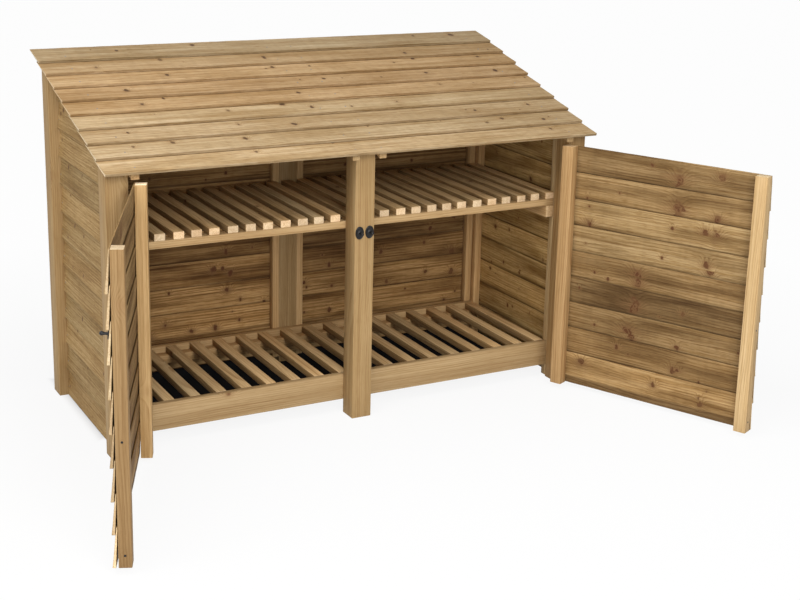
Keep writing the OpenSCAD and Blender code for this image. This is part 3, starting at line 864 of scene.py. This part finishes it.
def rose_and_knob(wide, tall):
    """A cast rose with a raised rim, drawn up ring by ring into its neck and knob; it points along +Z."""
    a, b = wide / 2, tall / 2
    rose_rings = [
        (0.0034, a * 0.95, b * 0.96), (0.0042, a * 0.87, b * 0.9),
        (0.0034, a * 0.76, b * 0.82), (0.0028, a * 0.6, b * 0.6),
    ]
    neck_and_knob = (
        (0.0036, 0.0075), (0.0056, 0.0046), (0.0115, 0.0036), (0.0165, 0.0049),
        (0.021, 0.0063), (0.0242, 0.0058), (0.0264, 0.0041), (0.0275, 0.0016),
    )
    bpy.ops.object.select_all(action="DESELECT")
    bpy.ops.mesh.primitive_cylinder_add(vertices=40, radius=1, depth=ROSE_T, location=(0, 0, ROSE_T / 2))
    rose = bpy.context.object
    rose.scale = (a, b, 1)
    bpy.ops.object.transform_apply(location=True, rotation=False, scale=True)
    bpy.ops.object.mode_set(mode="EDIT")
    bpy.ops.mesh.select_mode(type="FACE")
    bpy.ops.mesh.select_all(action="DESELECT")
    bpy.ops.object.mode_set(mode="OBJECT")
    for face in rose.data.polygons:
        face.select = face.normal.z > 0.9
    bpy.ops.object.mode_set(mode="EDIT")
    height, x, y = ROSE_T, a, b
    for z, to_x, to_y in rose_rings + [(z, radius, radius) for z, radius in neck_and_knob]:
        bpy.ops.mesh.extrude_region_move(TRANSFORM_OT_translate={"value": (0, 0, z - height)})
        bpy.ops.transform.resize(value=(to_x / x, to_y / y, 1))
        height, x, y = z, to_x, to_y
    bpy.ops.object.mode_set(mode="OBJECT")
    rose.data.materials.append(iron)
    return rose


to_front = Matrix.Rotation(math.pi / 2, 4, "X")
to_edge = Matrix.Rotation(math.pi / 2, 4, "Y")
for hand, sign in HANDS:
    swing, left_x, bottom, gauge, stack = hung[hand]
    low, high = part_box(hand + "_catch")
    catch = rose_and_knob(high[0] - low[0], high[2] - low[2])
    middle = ((low[0] + high[0]) / 2, FRONT_Y, (low[2] + high[2]) / 2)
    catch.data.transform(Matrix.Translation(middle) @ to_front)
    fixed_together(hand + "_catch", [catch], "store")

    free_x = left_x if sign > 0 else left_x + door_w
    knob = rose_and_knob(ROSE_W, ROSE_W)
    lean = math.pi / 2 - math.atan((stack - BOARD_THIN) / BOARD_W)
    board_foot = (free_x + sign * DOOR_STILE_W / 2, FRONT_Y, bottom + KNOB_BOARD * gauge)
    stand = Matrix.Translation(board_foot) @ Matrix.Rotation(lean, 4, "X")
    knob.data.transform(swing @ stand @ Matrix.Translation((0, KNOB_RISE, 0)))
    fixed_together(hand + "_door_knob", [knob], hand + "_door")

    pin = Vector(hinges[hand + "_door"]["pos_m"])
    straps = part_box(hand + "_door_straps")
    rows = (straps[0][2] + STRAP_HALF, straps[1][2] - STRAP_HALF)
    face_y = pin.y + SCREW_STAND
    edge_y = FRONT_Y + stack + DOOR_STILE_T / 2
    on_door, on_post = [], []
    for z in rows:
        for x in STRAP_SCREWS:
            on_door.append(swing @ Matrix.Translation((pin.x - sign * x, face_y, z)) @ to_front)
        for x, up in PLATE_SCREWS:
            on_post.append(Matrix.Translation((pin.x + sign * x, face_y, z + up)) @ to_front)
    for z in STILE_SCREWS:
        on_door.append(swing @ Matrix.Translation((free_x, edge_y, z)) @ to_edge)
    door_screws = nail_heads(on_door, SCREW_R, iron)
    fixed_together(hand + "_door_screws", door_screws, hand + "_door", in_cad=False)
    hinge_screws = nail_heads(on_post, SCREW_R, iron)
    fixed_together(hand + "_hinge_screws", hinge_screws, "store", in_cad=False)


# A pale studio floor that keeps the store's shadow, with a painted shadow beneath the store where it turns
# near-black, soft lamps above, in front and to the left, and a camera a few paces off to the left, a little
# above the roof.
PAINTED_SHADOW_FRONT, PAINTED_SHADOW_BACK = 0.22, 0.75
PAINTED_SHADOW_MIDDLE_X, PAINTED_SHADOW_HALF_W = 0.035, 0.885
FLOOR_SIZE, FLOOR_DROP = 60, 0.0005


def straight_to_eye(nodes, links):
    """1 where the camera sees a surface, also mirrored or through glass, and 0 where it only gives light."""
    path = nodes.new("ShaderNodeLightPath")
    total = path.outputs["Is Camera Ray"]
    for ray in ("Is Glossy Ray", "Is Transmission Ray"):
        either = nodes.new("ShaderNodeMath")
        either.operation = "MAXIMUM"
        links.new(total, either.inputs[0])
        links.new(path.outputs[ray], either.inputs[1])
        total = either.outputs[0]
    return total


bpy.ops.object.select_all(action="DESELECT")
bpy.ops.mesh.primitive_plane_add(size=FLOOR_SIZE, location=(0, 0, -FLOOR_DROP))
floor = bpy.context.object
floor.name = "studio_floor"
pale = bpy.data.materials.new("pale floor")
pale.use_nodes = True
nodes, links = pale.node_tree.nodes, pale.node_tree.links
matt = nodes["Principled BSDF"]
matt.inputs["Roughness"].default_value = 0.9
matt.inputs["Specular IOR Level"].default_value = 0.0
glow = nodes.new("ShaderNodeEmission")
veil = nodes.new("ShaderNodeMixShader")
where = nodes.new("ShaderNodeTexCoord")
apart = nodes.new("ShaderNodeVectorMath")
apart.operation = "SUBTRACT"
apart.inputs[1].default_value = (PAINTED_SHADOW_MIDDLE_X, (PAINTED_SHADOW_FRONT + PAINTED_SHADOW_BACK) / 2, 0)
spread = nodes.new("ShaderNodeVectorMath")
spread.operation = "ABSOLUTE"
beyond = nodes.new("ShaderNodeVectorMath")
beyond.operation = "SUBTRACT"
beyond.inputs[1].default_value = (PAINTED_SHADOW_HALF_W, (PAINTED_SHADOW_BACK - PAINTED_SHADOW_FRONT) / 2, 0)
sides = nodes.new("ShaderNodeSeparateXYZ")
farther = nodes.new("ShaderNodeMath")
farther.operation = "MAXIMUM"
reach = nodes.new("ShaderNodeMapRange")
reach.inputs["From Min"].default_value = -0.02
reach.inputs["From Max"].default_value = 1.98
share = nodes.new("ShaderNodeValToRGB")
for place, level in ((0.045, 0.88), (0.5, 0.93)):
    share.color_ramp.elements.new(place).color = (level, level, level, 1)
share.color_ramp.elements[3].color = (0.975, 0.975, 0.975, 1)
shown = nodes.new("ShaderNodeMath")
shown.operation = "MULTIPLY"
# Painted shadow: inside the patch beneath the store the floor neither glows nor stays pale, its colour goes
# near-black
painted_shadow = nodes.new("ShaderNodeValToRGB")
painted_shadow.color_ramp.elements[0].color = (0.02, 0.02, 0.022, 1)
painted_shadow.color_ramp.elements[1].color = (0.86, 0.86, 0.86, 1)
links.new(where.outputs["Object"], apart.inputs[0])
links.new(apart.outputs[0], spread.inputs[0])
links.new(spread.outputs[0], beyond.inputs[0])
links.new(beyond.outputs[0], sides.inputs[0])
links.new(sides.outputs["X"], farther.inputs[0])
links.new(sides.outputs["Y"], farther.inputs[1])
links.new(farther.outputs[0], reach.inputs["Value"])
links.new(reach.outputs["Result"], share.inputs["Fac"])
links.new(share.outputs["Color"], shown.inputs[0])
links.new(share.outputs["Color"], painted_shadow.inputs["Fac"])
links.new(painted_shadow.outputs["Color"], matt.inputs["Base Color"])
links.new(straight_to_eye(nodes, links), shown.inputs[1])
links.new(shown.outputs[0], veil.inputs["Fac"])
links.new(matt.outputs[0], veil.inputs[1])
links.new(glow.outputs[0], veil.inputs[2])
links.new(veil.outputs[0], nodes["Material Output"].inputs["Surface"])
floor.data.materials.append(pale)

world = bpy.data.worlds.new("studio")
world.use_nodes = True
bpy.context.scene.world = world
nodes, links = world.node_tree.nodes, world.node_tree.links
sky = nodes["Background"]
sky.inputs["Color"].default_value = (1, 1, 1, 1)
level = nodes.new("ShaderNodeMapRange")
level.inputs["To Min"].default_value = 0.25
level.inputs["To Max"].default_value = 1.0
links.new(straight_to_eye(nodes, links), level.inputs["Value"])
links.new(level.outputs["Result"], sky.inputs["Strength"])

for name, position, aim, size, power in (
    ("overhead lamp", (-2.0, -1.2, 4.4), (0, 0.2, 0.8), 2.6, 120),
    ("front lamp", (-0.5, -4.8, 3.2), (0, 0.3, 0.5), 2.2, 178),
    ("low lamp", (-2.4, -4.8, 0.9), (0.2, 0.4, 0.4), 1.6, 58),
    ("side lamp", (-5.0, -1.0, 2.2), (0, 0.2, 0.5), 2.0, 52),
):
    lamp = bpy.data.lights.new(name, "AREA")
    lamp.size = size
    lamp.energy = power
    stand = bpy.data.objects.new(name, lamp)
    stand.location = position
    stand.rotation_euler = (Vector(aim) - Vector(position)).to_track_quat("-Z", "Y").to_euler()
    bpy.context.collection.objects.link(stand)

FOCAL_PX, IMAGE_W, IMAGE_H = 1422.2, 800, 600
CENTRE_PX = (393.3, 233.5)
AZIMUTH, ELEVATION, ROLL = math.radians(-28.38), math.radians(14.84), math.radians(1.318)
EYE = Vector((-2.1913, -4.3050, 1.9594))
back = Vector((
    math.sin(AZIMUTH) * math.cos(ELEVATION),
    -math.cos(AZIMUTH) * math.cos(ELEVATION),
    math.sin(ELEVATION),
))
right = (-back).cross(Vector((0, 0, 1))).normalized()
up = right.cross(-back)
right, up = right * math.cos(ROLL) + up * math.sin(ROLL), up * math.cos(ROLL) - right * math.sin(ROLL)
lens = bpy.data.cameras.new("camera")
lens.sensor_width = 36
lens.lens = FOCAL_PX * lens.sensor_width / IMAGE_W
lens.shift_x = (IMAGE_W / 2 - CENTRE_PX[0]) / IMAGE_W
lens.shift_y = (CENTRE_PX[1] - IMAGE_H / 2) / IMAGE_W
camera = bpy.data.objects.new("camera", lens)
camera.matrix_world = Matrix((
    (right.x, up.x, back.x, EYE.x),
    (right.y, up.y, back.y, EYE.y),
    (right.z, up.z, back.z, EYE.z),
    (0, 0, 0, 1),
))
bpy.context.collection.objects.link(camera)
bpy.context.scene.camera = camera
bpy.context.scene.view_settings.view_transform = "Standard"
